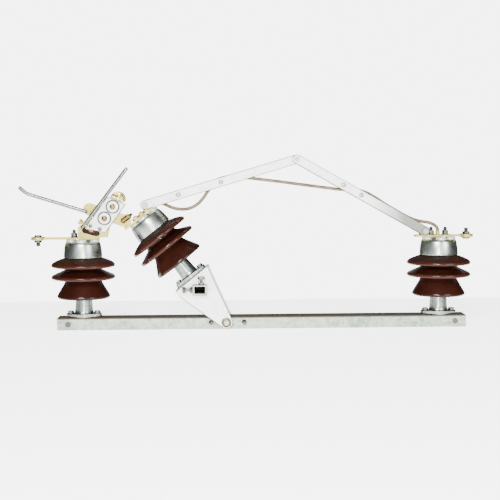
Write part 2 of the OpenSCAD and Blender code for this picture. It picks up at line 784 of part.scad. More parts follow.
// Blade: a foot on the strip and an arm through the jaw
blade_r = blade_w / 2;
arm_root = [(blade_foot[0] + blade_foot[1]) / 2 + 4, bar_t + blade_r];
arm_aim = to_tilt(from_jaw([0, 2])) - [0, tilt_cap_s];
arm_tip = arm_aim + blade_past * (arm_aim - arm_root) / norm(arm_aim - arm_root);
module contact_blade() {
    color(gold_zinc) at_tilt_cap() slab(-blade_t / 2, blade_t / 2) difference() {
        union() {
            link_shape(arm_root, arm_tip, blade_r);
            translate([blade_foot[0], bar_t]) square([blade_foot[1] - blade_foot[0], blade_r]);
        }
        translate([-4 * strip_left, bar_t - 2 * blade_w]) square([8 * strip_left, 2 * blade_w]);
    }
}

// The horn's root lies on the blade's tip, and its far end is bent up
horn_root = from_tilt(arm_tip + [0, tilt_cap_s]) + [-6, -9];
horn_bend = horn_root + [-horn_reach, horn_climb];
module moving_horn() {
    color(steel_grey) translate([0, moving_horn_y, 0])
        rod([horn_root, horn_bend, horn_bend + [-horn_tip, 0.9 * horn_tip]], horn_d / 2);
}

module link_pin() {
    seat = link1_out + touch_gap;
    color(steel_grey) {
        bar_y(hinge_moving, link_pin_d / 2, -seat - head_t + eps, seat + head_t - eps);
        hex_y(hinge_moving, head_r, -seat - head_t, -seat);
        hex_y(hinge_moving, head_r, seat, seat + head_t);
    }
}

// Folding links

function along(a, b, f) = a + (b - a) * f;

module first_link_bars() {
    color(bright_zinc) difference() {
        slab_pair(link1_in, link1_out) link_shape(hinge_moving, apex, link_w / 2);
        bar_y(hinge_moving, link_pin_d / 2 + pin_gap, -base_w, base_w);
        bar_y(apex, link_pin_d / 2 + pin_gap, -base_w, base_w);
        for (f = link1_spacers) bar_y(along(hinge_moving, apex, f), spacer_d / 2, -base_w, base_w);
    }
}

module second_link_bars() {
    color(bright_zinc) difference() {
        slab_pair(link2_in, link2_out) link_shape(apex, hinge_fixed, link_w / 2);
        bar_y(hinge_fixed, link_pin_d / 2 + pin_gap, -base_w, base_w);
        for (f = link2_spacers) bar_y(along(apex, hinge_fixed, f), spacer_d / 2, -base_w, base_w);
    }
}

// Bolts that hold a pair of bars apart and carry the cable
module spacers(a, b, places, outer) {
    color(steel_grey) for (f = places) {
        p = along(a, b, f);
        bar_y(p, spacer_d / 2, -outer, outer);
        bar_y(p, spacer_d / 2 + 3, outer, outer + 4);
        bar_y(p, spacer_d / 2 + 3, -outer - 4, -outer);
    }
}
module first_link_spacers() spacers(hinge_moving, apex, link1_spacers, link1_out);
module second_link_spacers() spacers(apex, hinge_fixed, link2_spacers, link2_out);

module apex_pin() {
    reach = link1_out + turn_gap / 2;
    color(steel_grey) bar_y(apex, link_pin_d / 2, -reach, reach);
}
module apex_bolt_heads() {
    color(steel_grey) {
        hex_y(apex, head_r - 2, -link2_out - head_t + 2, -link2_out);
        hex_y(apex, head_r - 2, link2_out, link2_out + head_t - 2);
    }
}

module cable(route) color(copper) tube(route, cable_d / 2);
module cable_loop() cable(cable_loop_route);
module cable_span() cable(cable_span_route);
module cable_tail() cable(cable_tail_route);

// The three insulators in their places

module at_seat() at_tilt() translate([0, 0, bracket_len]) children();
module post_foot_bolts() {
    at_left() foot_bolts(base_t);
    at_right() foot_bolts(base_t);
}
module tilt_foot_bolts() at_seat() foot_bolts(seat_t);
module left_post_foot() at_left() post_foot();
module left_porcelain() at_left() porcelain();
module left_cap() at_left() cap();
module right_post_foot() at_right() post_foot();
module right_porcelain() at_right() porcelain();
module right_cap() at_right() cap();
module tilt_post_foot() at_seat() post_foot();
module tilt_porcelain() at_seat() porcelain();
module tilt_cap() at_seat() cap();

base_channel();
stop_bolts();
pivot_bolt();
post_foot_bolts();
left_post_foot();
left_porcelain();
left_cap();
right_post_foot();
right_porcelain();
right_cap();
left_terminal();
left_terminal_bolt();
left_cap_studs();
right_terminal();
right_terminal_bolt();
right_cap_studs();
hinge_pin();
jaw_bracket();
jaw_plates();
contact_fingers();
pressure_discs();
contact_rivets();
jaw_rivets();
jaw_shunt();
fixed_horn();
tilt_bracket();
shaft_socket();
socket_screws();
tilt_foot_bolts();
tilt_post_foot();
tilt_porcelain();
tilt_cap();
contact_strip();
tilt_cap_studs();
contact_blade();
moving_horn();
link_pin();
first_link_bars();
first_link_spacers();
cable_loop();
cable_span();
apex_pin();
second_link_bars();
second_link_spacers();
apex_bolt_heads();
cable_tail();
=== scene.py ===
import json
import math

import bmesh
import bpy
import numpy as np
from mathutils import Matrix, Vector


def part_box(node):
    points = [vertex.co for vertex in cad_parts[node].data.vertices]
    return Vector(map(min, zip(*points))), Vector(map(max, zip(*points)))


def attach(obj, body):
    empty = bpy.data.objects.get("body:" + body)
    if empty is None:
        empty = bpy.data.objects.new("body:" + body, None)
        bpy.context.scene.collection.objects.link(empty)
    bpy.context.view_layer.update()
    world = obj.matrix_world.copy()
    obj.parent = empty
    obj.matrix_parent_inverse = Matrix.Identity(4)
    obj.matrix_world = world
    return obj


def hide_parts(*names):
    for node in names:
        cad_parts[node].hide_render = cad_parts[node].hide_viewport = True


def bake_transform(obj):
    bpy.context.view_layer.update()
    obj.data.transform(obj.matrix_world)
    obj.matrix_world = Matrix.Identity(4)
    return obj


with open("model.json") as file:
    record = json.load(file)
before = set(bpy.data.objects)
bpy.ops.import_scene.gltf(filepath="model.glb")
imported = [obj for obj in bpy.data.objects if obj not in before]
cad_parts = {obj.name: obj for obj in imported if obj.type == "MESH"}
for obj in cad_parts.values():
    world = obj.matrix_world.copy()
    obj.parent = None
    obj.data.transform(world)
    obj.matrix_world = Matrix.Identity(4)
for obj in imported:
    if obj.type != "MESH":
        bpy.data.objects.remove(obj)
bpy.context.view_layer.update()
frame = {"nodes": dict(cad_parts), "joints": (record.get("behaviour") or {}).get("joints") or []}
nodes = frame["nodes"]

# BASE CHANNEL
# A steel plate folded into an inverted channel, drilled and then hot-dip galvanised. Zinc freezes
# in pale flat crystals. The web's upper side is tinted dark brown as a painted reflection of a dark
# room, and the inside is darkened with painted shade.


def principled(mat):
    """The shader that a new node material starts with."""
    return mat.node_tree.nodes["Principled BSDF"]


def material(name, **sockets):
    """A new node material whose Principled sockets hold the given constants."""
    mat = bpy.data.materials.new(name)
    mat.use_nodes = True
    for key, value in sockets.items():
        principled(mat).inputs[key.replace("_", " ")].default_value = value
    return mat


def add(tree_owner, kind, **sockets):
    """A node of that kind in a material or world, with its own properties and socket constants set."""
    node = tree_owner.node_tree.nodes.new(kind)
    for key, value in sockets.items():
        if hasattr(node, key):
            setattr(node, key, value)
        else:
            node.inputs[key.replace("_", " ")].default_value = value
    return node


def wire(tree_owner, source, out, target, into):
    """A link from one node's output to another node's input, each by its name or number."""
    tree_owner.node_tree.links.new(source.outputs[out], target.inputs[into])


def ramp(tree_owner, source, out, stops):
    """A colour ramp with the given (place, grey or colour) stops, driven by a node's output."""
    node = tree_owner.node_tree.nodes.new("ShaderNodeValToRGB")
    bar = node.color_ramp.elements
    while len(bar) < len(stops):
        bar.new(0.5)
    for element, (place, colour) in zip(bar, stops):
        element.position = place
        element.color = (*colour, 1.0) if isinstance(colour, tuple) else (colour, colour, colour, 1.0)
    wire(tree_owner, source, out, node, "Fac")
    return node


def graded(mat, source, out, socket, stops):
    """A shader socket that follows a node's output by a ramp, which is returned."""
    level = ramp(mat, source, out, stops)
    wire(mat, level, "Color", principled(mat), socket)
    return level


def tinted(mat, surface, out, colour, mask, mask_out):
    """The surface colour, mixed towards another one where the mask is 1, as the shader's colour.
    A colour mix has its factor at input 0, its two colours at 6 and 7, and its result at output 2."""
    mix = add(mat, "ShaderNodeMix", data_type="RGBA")
    mix.inputs[7].default_value = (*colour, 1.0)
    wire(mat, mask, mask_out, mix, 0)
    wire(mat, surface, out, mix, 6)
    wire(mat, mix, 2, principled(mat), "Base Color")
    return mix


def rough_skin(mat, source, strength, distance):
    """Small relief on the surface, as high as the source node's value."""
    bump = add(mat, "ShaderNodeBump", Strength=strength, Distance=distance)
    wire(mat, source, "Fac", bump, "Height")
    wire(mat, bump, "Normal", principled(mat), "Normal")


def object_axes(mat):
    """A node that gives the X, Y and Z of a point in object space."""
    place = add(mat, "ShaderNodeTexCoord")
    axes = add(mat, "ShaderNodeSeparateXYZ")
    wire(mat, place, "Object", axes, "Vector")
    return axes


def zinc_finish(name, pale, dull, metal, rough, grain, bump):
    """Zinc on steel: flat crystals by cell noise and cloudy patches by soft noise, in object space.
    Returns the material and the node that holds its colour."""
    mat = material(name, Metallic=metal)
    place = add(mat, "ShaderNodeTexCoord")
    cells = add(mat, "ShaderNodeTexVoronoi", Scale=grain, Randomness=1.0)
    cloud = add(mat, "ShaderNodeTexNoise", Scale=grain * 0.14, Detail=5.0, Roughness=0.62)
    fine = add(mat, "ShaderNodeTexNoise", Scale=grain * 5.0, Detail=3.0)
    for node in (cells, cloud, fine):
        wire(mat, place, "Object", node, "Vector")
    grey = add(mat, "ShaderNodeMix", data_type="FLOAT")
    grey.inputs[0].default_value = 0.6
    wire(mat, cells, "Color", grey, 2)
    wire(mat, cloud, "Fac", grey, 3)
    tone = graded(mat, grey, 0, "Base Color", [(0.30, dull), (0.62, pale)])
    graded(mat, cloud, "Fac", "Roughness", [(0.3, rough + 0.08), (0.7, rough - 0.05)])
    rough_skin(mat, fine, strength=bump, distance=0.0006)
    return mat, tone


def finish_nodes(mat, *names):
    """The material put on CAD nodes that keep their own shape."""
    for name in names:
        mesh = nodes[name].data
        mesh.materials.clear()
        mesh.materials.append(mat)


TOP_PAINTED_REFLECTION, INSIDE_PAINTED_SHADE = (0.078, 0.062, 0.047), (0.022, 0.024, 0.021)
galvanised, tone = zinc_finish(
    "galvanised", pale=(0.345, 0.395, 0.325), dull=(0.185, 0.22, 0.175),
    metal=0.45, rough=0.48, grain=95.0, bump=0.22)
# Painted shade: faces within the channel's walls are tinted nearly black, as if in shadow.
from_middle = add(galvanised, "ShaderNodeMath", operation="ABSOLUTE")
wire(galvanised, object_axes(galvanised), "Y", from_middle, 0)
inside = ramp(galvanised, from_middle, 0, [(0.0328, 0.9), (0.0345, 0.0)])  # metres, within the wall
inside_shade_tint = tinted(galvanised, tone, "Color", INSIDE_PAINTED_SHADE, inside, "Color")
# Painted reflection: faces that look up are tinted dark brown, as if they mirrored a dark room; they are also
# made duller.
face = add(galvanised, "ShaderNodeNewGeometry")
facing = add(galvanised, "ShaderNodeSeparateXYZ")
wire(galvanised, face, "True Normal", facing, "Vector")
upward = ramp(galvanised, facing, "Z", [(0.35, 0.0), (0.65, 0.96)])
tinted(galvanised, inside_shade_tint, 2, TOP_PAINTED_REFLECTION, upward, "Color")
for socket, side, top in (
        ("Metallic", 0.45, 0.0), ("Roughness", 0.46, 0.9), ("Specular IOR Level", 0.5, 0.08)):
    graded(galvanised, facing, "Z", socket, [(0.35, side), (0.65, top)])
finish_nodes(galvanised, "base_channel")

# PORCELAIN
# Wet-process porcelain, turned on a lathe as one body with two sheds over a hollow bell, dipped in
# a brown glaze and fired. The glaze runs thin on the rims, and dust dulls the top shed.

hinge = {joint["name"]: np.array(joint["pos_m"]) for joint in frame["joints"]}
PIVOT = hinge["tilt"]
TILT = math.radians(38.0)
SEAT = 0.184  # from the pivot to the tilting seat, in metres
LEFT, RIGHT, FOOT = -0.542, 0.638, 0.040  # the posts' places along X, and the height of their feet
STANDS = ("left", "right", "tilt")


def mesh_object(name, points, faces, mat, marks=None):
    """A smooth mesh at the origin from an array of points and lists of corner numbers. Marks are values for
    the points, kept as attributes. Points at one place become one, and the faces are turned outwards."""
    mesh = bpy.data.meshes.new(name)
    mesh.from_pydata(points.reshape(-1, 3).tolist(), [], faces)
    for mark, values in (marks or {}).items():
        layer = mesh.attributes.new(mark, "FLOAT", "POINT")
        layer.data.foreach_set("value", np.asarray(values, np.float32))
    work = bmesh.new()
    work.from_mesh(mesh)
    bmesh.ops.remove_doubles(work, verts=work.verts[:], dist=1e-6)
    bmesh.ops.recalc_face_normals(work, faces=work.faces[:])
    work.to_mesh(mesh)
    work.free()
    mesh.validate()
    mesh.materials.append(mat)
    mesh.polygons.foreach_set("use_smooth", np.ones(len(mesh.polygons), bool))
    obj = bpy.data.objects.new(name, mesh)
    bpy.context.scene.collection.objects.link(obj)
    return obj


def quads(rows, columns, around=True):
    """Corner numbers of a rows by columns grid of points, joined round its columns where asked."""
    last = columns if around else columns - 1
    i, j = np.meshgrid(np.arange(rows - 1), np.arange(last), indexing="ij")
    k = (j + 1) % columns
    row, below = i * columns, (i + 1) * columns
    return np.stack([row + j, row + k, below + k, below + j], -1).reshape(-1, 4).tolist()


def round_off(points, times=3):
    """Corner cutting: each pass puts two points on every edge, at a quarter and three quarters of it."""
    p = np.asarray(points, float)
    for _ in range(times):
        cut = np.stack([0.75 * p[:-1] + 0.25 * p[1:], 0.25 * p[:-1] + 0.75 * p[1:]], 1)
        p = np.vstack([p[:1], cut.reshape(-1, p.shape[1]), p[-1:]])
    return p


def lathe(profile, segments):
    """A profile of (radius, height) turned about Z: point = (r cos a, r sin a, h) for equal steps of a."""
    a = np.linspace(0, 2 * np.pi, segments, endpoint=False)
    r, h = profile[:, :1], profile[:, 1:]
    points = np.stack([r * np.cos(a), r * np.sin(a), h + 0 * a], -1)
    return points.reshape(-1, 3), quads(len(profile), segments)


def stood_at(points, where):
    """Local points put in their place: on the left post, on the right one or on the tilting seat."""
    if where == "left":
        return points + [LEFT, 0, FOOT]
    if where == "right":
        return points + [RIGHT, 0, FOOT]
    x, y, s = points[..., 0], points[..., 1], points[..., 2] + SEAT
    c, n = math.cos(TILT), math.sin(TILT)
    return np.stack([x * c - s * n, y, x * n + s * c], -1) + PIVOT


def body_at(where):
    """The body that an insulator's pieces ride on."""
    return "tilt_arm" if where == "tilt" else "base"


def clouded(mat, stops, **noise):
    """A colour that follows soft noise in object space. Returns the noise and the colour ramp."""
    place = add(mat, "ShaderNodeTexCoord")
    cloud = add(mat, "ShaderNodeTexNoise", **noise)
    wire(mat, place, "Object", cloud, "Vector")
    return cloud, graded(mat, cloud, "Fac", "Base Color", stops)


glaze = material("brown_glaze", Roughness=0.17, IOR=1.5, Specular_IOR_Level=0.18)
runs, tones = clouded(
    glaze, [(0.3, (0.0128, 0.0031, 0.0018)), (0.7, (0.0215, 0.0054, 0.0030))],
    Scale=16.0, Detail=4.0, Roughness=0.55)
thin = add(glaze, "ShaderNodeAttribute", attribute_name="rim")
tinted(glaze, tones, "Color", (0.055, 0.0155, 0.0085), thin, "Fac")
dust = add(glaze, "ShaderNodeAttribute", attribute_name="dust")
graded(glaze, dust, "Fac", "Roughness", [(0.0, 0.17), (1.0, 0.52)])
rough_skin(glaze, runs, strength=0.02, distance=0.002)

# Radius and height in mm, from the head down over the sheds and up inside the bell.
body_line = round_off([
    (0, 197.4), (40, 197.4), (56.5, 197.4), (60.5, 197.0), (63, 196.2), (76, 192), (92, 185.4),
    (100.3, 180.2), (104.4, 175.8), (104.4, 169.4), (100.3, 166.6), (94, 167.4), (68, 171.6), (60.5, 171.4),
    (58.2, 168.6), (58.2, 161.6), (61.4, 157.8), (75, 151.6), (91, 144.2), (100.3, 140), (104.4, 136.4),
    (104.4, 129.6), (100.3, 126.8), (94, 127.8), (68, 133), (60.5, 133.2), (57.6, 130.4), (57.6, 125.4),
    (62.8, 112.8), (77, 89.2), (85.4, 75.2), (87.2, 69), (85, 64.2), (79, 63.7), (72, 66), (52, 93),
    (42, 103), (30, 111), (25.4, 114), (0, 114)], 3) / 1000
body_points, body_faces = lathe(body_line, 160)
thin_rim = np.clip((np.hypot(body_points[:, 0], body_points[:, 1]) - 0.0965) / 0.007, 0, 1) ** 2
settled = np.clip((body_points[:, 2] - 0.1765) / 0.004, 0, 1)
for where in STANDS:
    piece = mesh_object(
        f"{where}_glazed_body", stood_at(body_points, where), body_faces, glaze,
        marks={"rim": 0.35 * thin_rim, "dust": settled})
    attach(piece, body_at(where))
    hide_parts(f"{where}_porcelain")

# INSULATOR CAPS
# Malleable iron castings, galvanised to a satin grey. The barrel-shaped cap is cemented over the
# porcelain's head, and four low round pads on its top are faced flat for the terminal bar.

cast, tone = zinc_finish(
    "cast_grey", pale=(0.375, 0.415, 0.372), dull=(0.33, 0.365, 0.328),
    metal=1.0, rough=0.29, grain=300.0, bump=0.006)
faced = add(cast, "ShaderNodeAttribute", attribute_name="faced")
tinted(cast, tone, "Color", (0.50, 0.53, 0.48), faced, "Fac")
graded(cast, faced, "Fac", "Metallic", [(0.0, 1.0), (1.0, 0.25)])
cement = material("cement", Roughness=0.9)
grit, _ = clouded(
    cement, [(0.35, (0.024, 0.019, 0.015)), (0.65, (0.048, 0.040, 0.032))], Scale=900.0, Detail=3.0)
rough_skin(cement, grit, strength=0.5, distance=0.0008)

cap_line = round_off([
    (0, 249), (30, 249), (47, 249), (54.6, 248.4), (57.6, 244), (59.2, 237), (61.2, 225), (62.4, 212),
    (63.0, 202), (62.9, 199.3), (61.6, 198.4), (58.4, 198.2), (56.6, 200), (50, 200), (0, 200)], 3) / 1000
pad_line = round_off([(0, 258), (8, 258), (15.6, 258), (17, 256.4), (17, 252), (18, 248), (0, 248)], 2) / 1000
collar_line = np.array([(57.2, 200.5), (58.4, 198.6), (59.0, 196.8), (57.2, 195), (57.2, 200.5)]) / 1000


def joined(*sets):
    """Several (points, faces) sets as one, with the later faces counted on from the earlier points."""
    points, faces, count = [], [], 0
    for p, f in sets:
        points.append(p)
        faces += [[c + count for c in face] for face in f]
        count += len(p)
    return np.vstack(points), faces


PAD_CIRCLE = 0.038
cap_sets = [lathe(cap_line, 128)]
for turn in (0, math.pi / 2, math.pi, 1.5 * math.pi):
    p, f = lathe(pad_line, 40)
    cap_sets.append((p + [PAD_CIRCLE * math.cos(turn), PAD_CIRCLE * math.sin(turn), 0], f))
cap_points, cap_faces = joined(*cap_sets)
on_pads = np.arange(len(cap_points)) >= len(cap_sets[0][0])
collar_points, collar_faces = lathe(collar_line, 96)
for where in STANDS:
    piece = mesh_object(
        f"{where}_cast_cap", stood_at(cap_points, where), cap_faces, cast, marks={"faced": on_pads})
    ring = mesh_object(f"{where}_cement_collar", stood_at(collar_points, where), collar_faces, cement)
    for part in (piece, ring):
        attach(part, body_at(where))
    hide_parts(f"{where}_cap")

# INSULATOR PINS
# Each pin is one casting: a tapered stem cemented into the bell, and an oval foot with two bolt holes.
# The foot's edges are rounded by the mould, and the casting is duller than the cap.

pin_metal, _ = zinc_finish(
    "pin_grey", pale=(0.285, 0.325, 0.292), dull=(0.18, 0.21, 0.185),
    metal=1.0, rough=0.28, grain=120.0, bump=0.08)
foot_rows = np.array([  # share of the oval, radius of the stem in mm, height in mm
    (1.00, 36, 0), (1.00, 36, 3), (1.00, 36, 8.2), (0.985, 35, 10.6), (0.95, 34, 11.8), (0.88, 33.5, 12),
    (0.55, 33, 12), (0.15, 32.6, 12.2), (0.0, 32, 13.4), (0.0, 30.6, 16.5), (0.0, 29.6, 22), (0.0, 28.6, 34),
    (0.0, 26.8, 62), (0.0, 25.4, 96), (0.0, 25.2, 120)])


def oval(big, small, apart, count=128):
    """Radius, at equal steps of angle, of a circle with a smaller one on each side, joined by tangents.
    On each ray it is the farthest of: big circle, small circle, and the tangent line within its span."""
    a = np.linspace(0, 2 * np.pi, count, endpoint=False)
    c = np.abs(np.cos(a))
    across = np.abs(np.sin(a)) * apart
    reach = np.where(across < small, c * apart + np.sqrt(np.maximum(small**2 - across**2, 0)), 0)
    lean = math.acos((big - small) / apart)
    line = big / np.cos(np.arccos(np.minimum(c, 1.0)) - lean)
    inside = (line * c > big * math.cos(lean)) & (line * c < apart + small * math.cos(lean))
    return a, np.maximum.reduce([np.full(count, big), reach, np.where(inside, line, 0)])


angle, outer = oval(36.0, 15.0, 44.0)
share, stem, height = foot_rows.T[..., None]
radius = (share * outer + (1 - share) * stem) / 1000
foot_points = np.stack([radius * np.cos(angle), radius * np.sin(angle), height / 1000 + 0 * angle], -1)
sole = np.arange(len(angle))
stem_top = sole + (len(foot_rows) - 1) * len(angle)
foot_faces = quads(len(foot_rows), len(angle)) + [sole[::-1].tolist(), stem_top.tolist()]
for where in STANDS:
    piece = mesh_object(f"{where}_pin_casting", stood_at(foot_points, where), foot_faces, pin_metal)
    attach(piece, body_at(where))
    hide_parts(f"{where}_post_foot")

# TERMINAL BARS, CONTACT STRIP AND BLADE
# Steel and copper bar, sheared and bent, then zinc plated and dipped in chromate: a straw-yellow
# film with pink and green clouds. Studs and nuts hold the bars on the caps' pads.

yellow = material("yellow_chromate", Metallic=0.55)
clouds, _ = clouded(yellow, [
    (0.28, (0.28, 0.20, 0.035)), (0.42, (0.40, 0.325, 0.070)), (0.52, (0.46, 0.395, 0.105)),
    (0.62, (0.37, 0.345, 0.095)), (0.75, (0.38, 0.27, 0.060))],
    Scale=34.0, Detail=5.0, Roughness=0.6, Distortion=0.8)
graded(yellow, clouds, "Fac", "Roughness", [(0.35, 0.46), (0.65, 0.32)])
finish_nodes(yellow, "left_terminal", "right_terminal", "contact_strip", "contact_blade", "jaw_bracket")

# BOLTS, NUTS AND STUDS
# Headed and rolled steel, zinc plated and gone a little dull. Hexagons are chamfered at their corners,
# and the ends that stand free show their thread.

plated, _ = zinc_finish(
    "plated_steel", pale=(0.135, 0.135, 0.118), dull=(0.062, 0.061, 0.052),
    metal=0.95, rough=0.30, grain=160.0, bump=0.15)
CAP_HEIGHT = 0.258
CAP_TOP = FOOT + CAP_HEIGHT
LEFT_END, RIGHT_END = LEFT - 0.147, RIGHT + 0.091  # middles of the terminal pads along X
BAR = 0.006  # thickness of the terminal bars
TURN = np.linspace(0, 2 * np.pi, 72, endpoint=False)


def ring_stack(radii, heights):
    """A closed solid about Z from rows of radii, one row for each height and one column for each angle."""
    r = np.broadcast_to(radii, (len(heights), len(TURN))) / 1000
    h = np.asarray(heights, float)[:, None] / 1000
    points = np.stack([r * np.cos(TURN), r * np.sin(TURN), h + 0 * r], -1).reshape(-1, 3)
    bottom = np.arange(len(TURN))
    top = bottom + (len(heights) - 1) * len(TURN)
    return points, quads(len(heights), len(TURN)) + [bottom[::-1].tolist(), top.tolist()]


def turned(radii, heights):
    """A round solid about Z with one radius for each height, in mm."""
    return ring_stack(np.array(radii, float)[:, None], heights)


def hexagon(corner, low, high):
    """A hexagon head or nut: radius = flat distance / cos(angle from the flat's middle), cut by a cone
    at both ends, which leaves the round chamfer that a turned nut has."""
    flat = corner * math.cos(math.pi / 6) / np.cos(TURN % (math.pi / 3) - math.pi / 6)
    heights = [low, low + 0.9, low + 1.8, high - 1.8, high - 0.9, high]
    cone = np.array([0.89, 0.95, 1.0, 1.0, 0.95, 0.89])[:, None] * corner
    return ring_stack(np.minimum(flat, cone), heights)


def thread(radius, low, high, pitch=1.75):
    """A threaded end: the radius falls by a triangle wave of height + turn, once for each pitch."""
    heights = np.linspace(low, high, max(int((high - low) / pitch * 6), 8))
    phase = (heights[:, None] / pitch - TURN / (2 * np.pi)) % 1.0
    depth = 0.9 * np.abs(2 * phase - 1)
    taper = np.clip((high - heights[:, None]) / 1.2, 0, 1)
    return ring_stack(radius - depth - (1 - taper) * 0.9, heights)


def shaft(radius, low, high):
    """A plain round shaft."""
    return turned([radius, radius], [low, high])


def button(radius, low, high):
    """A low round head: a quarter ellipse from the rim to the top."""
    a = np.linspace(0, np.pi / 2, 8)
    heights = np.concatenate([[low], low + 0.25 * (high - low) + 0.75 * (high - low) * np.sin(a)])
    radii = np.concatenate([[radius], radius * np.cos(a * 0.93)])
    return turned(radii, heights)


def placed(piece, origin, axis=(0, 0, 1)):
    """A piece made about Z, turned so that Z becomes the axis, and moved to its origin in metres."""
    w = np.array(axis, float)
    u = np.array([1.0, 0, 0]) if abs(w[0]) < 0.9 else np.array([0, 1.0, 0])
    u = u - w * (u @ w)
    u /= np.linalg.norm(u)
    points, faces = piece
    return points @ np.stack([u, np.cross(w, u), w]) + np.asarray(origin, float), faces


def fitted(name, body, mat, sets, replaces=True, marks=None):
    """One object from several sets, with sharp edges kept. It rides on a body and, unless it is an extra,
    replaces the CAD node of its name."""
    points, faces = joined(*sets)
    piece = mesh_object(f"{name}_detail", points, faces, mat, marks)
    piece.data.set_sharp_from_angle(angle=math.radians(34))
    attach(piece, body)
    if replaces:
        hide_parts(name)


def foot_bolts(where, plate):
    """Two bolts down through an oval foot and its plate, with nuts below."""
    nut_end = -plate - 10
    bolt = [hexagon(10.5, 12, 20), hexagon(10.5, nut_end, -plate), thread(6, nut_end - 4, nut_end)]
    return [(stood_at(p + [x, 0, 0], where), f) for x in (-0.044, 0.044) for p, f in bolt]


fitted("post_foot_bolts", "base", plated, foot_bolts("left", 5) + foot_bolts("right", 5))
fitted("tilt_foot_bolts", "tilt_arm", plated, foot_bolts("tilt", 8))

terminal_bolt = [hexagon(12.5, 6, 14), hexagon(12.5, -10, 0), thread(7, -22, -10)]
fitted("left_terminal_bolt", "base", plated, [
    placed(part, (LEFT_END, 0, CAP_TOP)) for part in terminal_bolt])
fitted("right_terminal_bolt", "base", plated, [
    placed(part, (RIGHT_END, 0, CAP_TOP + BAR), (0, 0, -1)) for part in terminal_bolt])

pad = turned([20.6, 22.4, 23.0, 23.0, 22.4, 20.6], [-2.2, -1.5, -0.2, 6.2, 7.5, 8.2])
fitted("terminal_pads", "base", yellow, [
    placed(pad, (x, 0, CAP_TOP)) for x in (LEFT_END, RIGHT_END)], replaces=False)

stud_nut = [turned([11.6, 12.1, 12.1, 11.6], [6, 6.5, 8.5, 9]), hexagon(10.5, 9, 21), thread(6, 21, 32)]
low_head = [hexagon(8, 11, 19)]
low_nut = [hexagon(13, 6, 15), thread(6, 15, 19)]


def studs(where, places, parts):
    """The parts of a stud that stand on a cap's bar, at several places along the bar."""
    return [(stood_at(p + [x, 0, CAP_HEIGHT], where), f) for x in places for p, f in parts]


fitted("left_cap_studs", "base", plated, studs(
    "left", [-0.028], stud_nut) + studs("left", [0.012], low_head))
fitted("right_cap_studs", "base", plated, studs("right", [-0.026, 0.021], stud_nut))
fitted("tilt_cap_studs", "tilt_arm", yellow, studs("tilt", [-0.0235, 0.001], low_nut))


def both_sides(part, centre):
    """A part made about Z, set on the front and on the back of the switch."""
    return [placed(part, centre, (0, side, 0)) for side in (-1, 1)]


def through_bolts(places, seat, rod, head):
    """Bolts along Y at several places: a rod from side to side, and the same head on both ends of it."""
    sets = []
    for centre in places:
        sets += [placed(shaft(rod, -seat, seat), centre, (0, -1, 0))] + both_sides(head, centre)
    return sets


bolt_zinc, _ = zinc_finish(
    "bolt_zinc", pale=(0.37, 0.385, 0.355), dull=(0.23, 0.245, 0.222),
    metal=0.6, rough=0.36, grain=200.0, bump=0.1)
P2, P3, P4 = hinge["first_link_hinge"], hinge["apex_hinge"], hinge["second_link_hinge"]
FIRST_FACE, SECOND_FACE = 18.5, 26.0  # outer faces of the links' bars, in mm from the middle
finish_nodes(plated, "apex_pin")
fitted("hinge_pin", "base", bolt_zinc, through_bolts(
    [P4], seat=26.3, rod=6, head=hexagon(10.5, 26.3, 34.3)))
fitted("link_pin", "tilt_arm", bolt_zinc, through_bolts(
    [P2], seat=18.8, rod=6, head=hexagon(10.5, 18.8, 26.8)))
fitted("apex_bolt_heads", "second_link", bolt_zinc, both_sides(
    hexagon(8.5, SECOND_FACE, SECOND_FACE + 6), P3))

# PIVOT, STOPS AND SPACERS
# The pivot is a heavy bolt with plain washers, yellow with old chromate. Stop bolts and link spacers
# are round-headed bolts through both sides.

pivot_zinc, _ = zinc_finish(
    "pivot_zinc", pale=(0.115, 0.105, 0.060), dull=(0.065, 0.058, 0.032),
    metal=0.8, rough=0.38, grain=140.0, bump=0.2)
WASHER = 52.3  # outer face of the pivot's washers, in mm from the middle
fitted("pivot_bolt", "base", bolt_zinc, [
    placed(shaft(8, -52, 52), PIVOT, (0, -1, 0)), placed(thread(8, 62, 67), PIVOT, (0, 1, 0)),
    placed(hexagon(9.5, WASHER, WASHER + 8), PIVOT, (0, -1, 0)),
    placed(hexagon(9.5, WASHER, WASHER + 10), PIVOT, (0, 1, 0))])
washer = turned([15.6, 16.4, 16.4, 15.6], [49.3, 49.8, 51.8, WASHER])
fitted("pivot_washers", "base", pivot_zinc, both_sides(washer, PIVOT), replaces=False)
HEAD = 8  # radius of the round heads, in mm
CHANNEL_FACE = 37.5  # outer faces of the channel's sides, in mm from the middle
fitted("first_link_spacers", "first_link", bolt_zinc, through_bolts(
    [P2 + (P3 - P2) * f for f in (0.22, 0.5)],
    seat=FIRST_FACE, rod=5, head=button(HEAD, FIRST_FACE, FIRST_FACE + 4)))
fitted("second_link_spacers", "second_link", bolt_zinc, through_bolts(
    [P3 + (P4 - P3) * f for f in (0.36, 0.5)],
    seat=SECOND_FACE, rod=5, head=button(HEAD, SECOND_FACE, SECOND_FACE + 4)))
stop_low, stop_high = (np.array(corner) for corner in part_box("stop_bolts"))
stops = [np.array([x, 0, PIVOT[2]]) for x in (stop_low[0] + HEAD / 1000, stop_high[0] - HEAD / 1000)]
fitted("stop_bolts", "base", plated, through_bolts(
    stops, seat=CHANNEL_FACE, rod=5, head=button(HEAD, CHANNEL_FACE, 50)))
